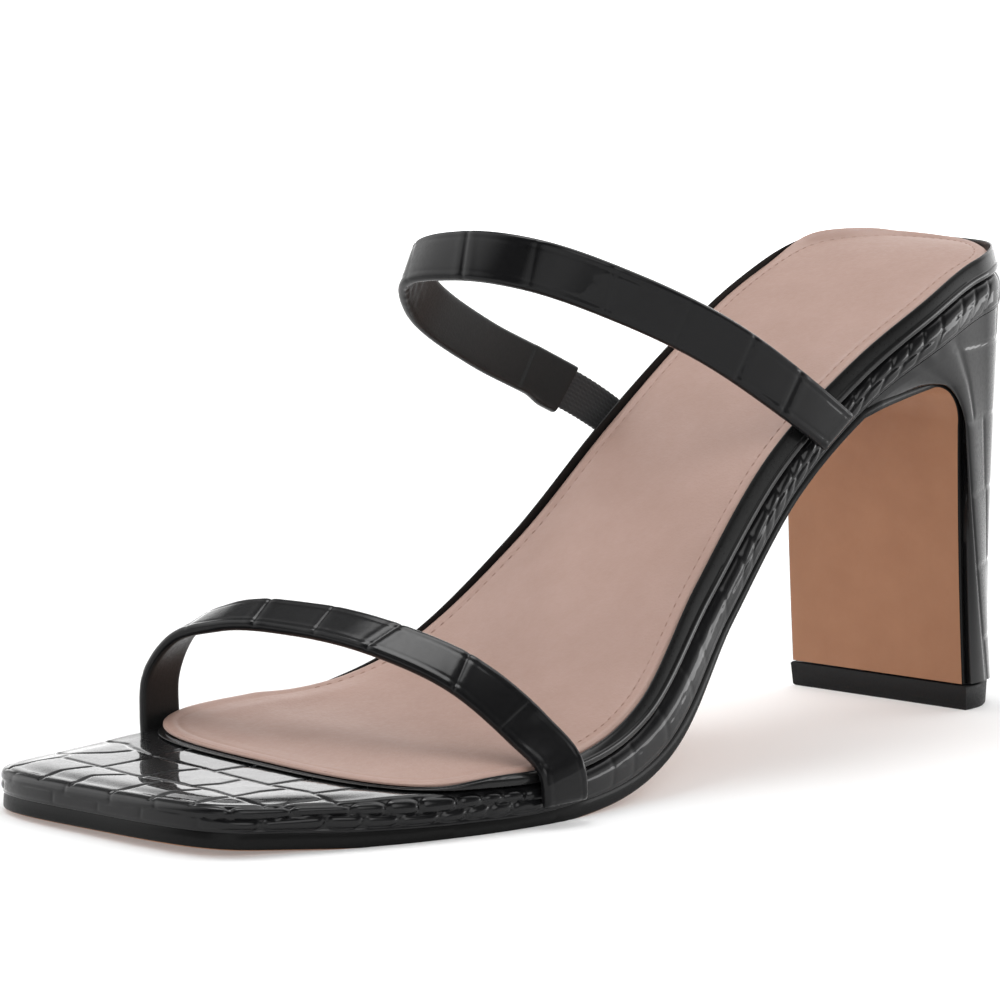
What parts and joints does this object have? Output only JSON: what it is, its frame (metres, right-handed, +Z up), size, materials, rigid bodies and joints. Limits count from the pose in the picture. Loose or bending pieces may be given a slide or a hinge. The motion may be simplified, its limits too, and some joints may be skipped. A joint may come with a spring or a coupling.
{
  "type": "heeled mule sandal",
  "caption": "Left-foot heeled mule: square toe, narrow straps over toes and instep, padded sock, wrapped platform and a covered block heel.",
  "frame": {"origin": "middle of the box's foot, on the floor that the shoe stands on", "axes": "+Z up, the toe points to -Y, the outer (lateral) side of this left shoe is +X"},
  "size_m": [0.0932, 0.2242, 0.1039],
  "materials": {
    "patent": "glossy black patent, embossed scales",
    "rim": "glossy smooth black",
    "sock": "soft matt nude beige",
    "outsole": "satin tan, black inked edge",
    "top_piece": "matt black",
    "elastic": "ribbed black elastic"
  },
  "bodies": {
    "root": {"platform": "patent", "heel": "patent", "toe_strap": "patent", "instep_strap": "patent", "insole": "rim", "sock": "sock", "outsole": "outsole", "top_piece": "top_piece", "elastic_gore": "elastic"}
  },
  "joints": []
}
